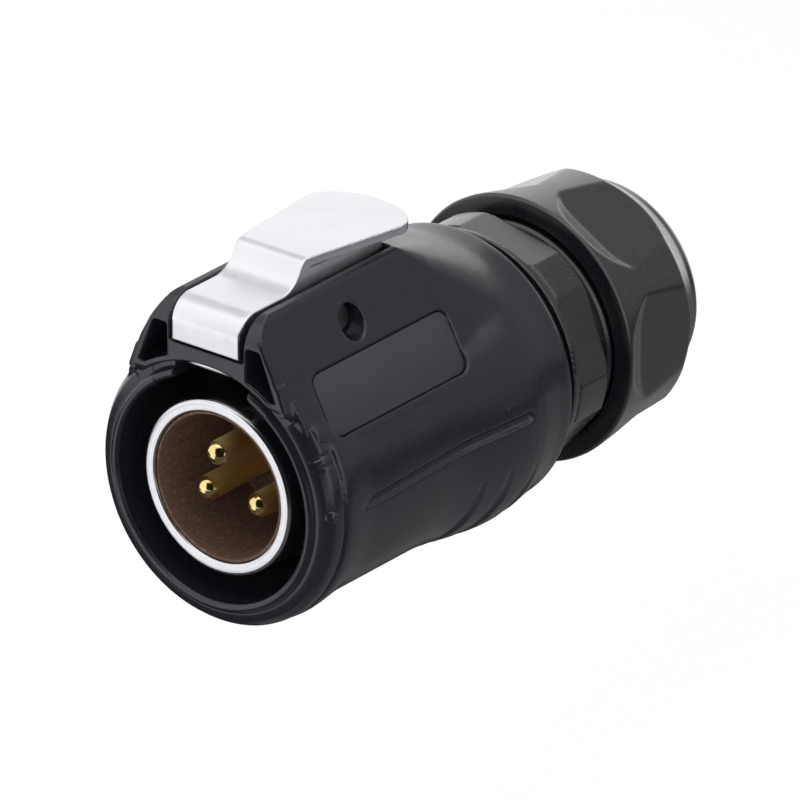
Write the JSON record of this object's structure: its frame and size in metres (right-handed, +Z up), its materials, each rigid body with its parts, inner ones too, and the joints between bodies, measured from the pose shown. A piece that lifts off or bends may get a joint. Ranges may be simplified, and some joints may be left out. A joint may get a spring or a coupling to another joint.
{
  "type": "industrial power connector",
  "caption": "Cable-end circular power plug: moulded charcoal body, metal push latch on top, plated shell round gold pins, and a cable gland with a domed clamping nut.",
  "frame": {"origin": "on the plug's axis, at the front edge of the metal shell", "axes": "+Y runs along the plug's axis to the rear (cable) end, +Z points up to the latch, +X points to the right seen from the mating face"},
  "size_m": [0.0302, 0.0635, 0.0372],
  "materials": {
    "body_plastic": "satin moulded charcoal plastic, fine grain",
    "gland_plastic": "satin moulded charcoal plastic",
    "plated_shell": "bright plated die-cast metal",
    "cast_latch": "satin plated die-cast metal",
    "pin_steel": "turned steel",
    "spring_steel": "drawn spring wire",
    "insulator_plastic": "brown-black filled plastic, speckled",
    "gold_contact": "polished gold plating on brass",
    "black_rubber": "matte black rubber"
  },
  "bodies": {
    "plug": {"plug_body": "body_plastic", "shell_sleeve": "plated_shell", "insulator_insert": "insulator_plastic", "contact_pin_earth": "gold_contact", "contact_pin_line": "gold_contact", "contact_pin_neutral": "gold_contact", "terminal_screw_earth": "pin_steel", "terminal_screw_line": "pin_steel", "terminal_screw_neutral": "pin_steel", "insulator_retainer": "gland_plastic", "mating_gasket": "black_rubber", "flange_seal": "black_rubber", "latch_pin": "pin_steel", "latch_spring": "spring_steel", "gland_body": "gland_plastic", "gland_seal_ring": "black_rubber"},
    "latch": {"latch_lever": "cast_latch"},
    "clamp": {"clamp_cage": "gland_plastic", "cable_seal": "black_rubber"},
    "nut": {"gland_nut": "gland_plastic"}
  },
  "joints": [
    {"name": "latch_press", "type": "hinge", "parent": "plug", "child": "latch", "pos_m": [0, 0.0113, 0.01545], "axis": [-1, 0, 0], "range_deg": [0, 6], "stiffness_Nm_per_rad": 0.05, "deforming": ["latch_spring"]},
    {"name": "clamp_slide", "type": "slide", "parent": "plug", "child": "clamp", "axis": [0, 1, 0], "range_m": [-0.0015, 0.0045]},
    {"name": "nut_turn", "type": "hinge", "parent": "clamp", "child": "nut", "pos_m": [0, 0.052, 0], "axis": [0, 1, 0], "range_deg": [-360, 1080]}
  ],
  "couplings": [
    {"joint": "clamp_slide", "follows": "nut_turn", "m_per_rad": 0.00023873}
  ]
}
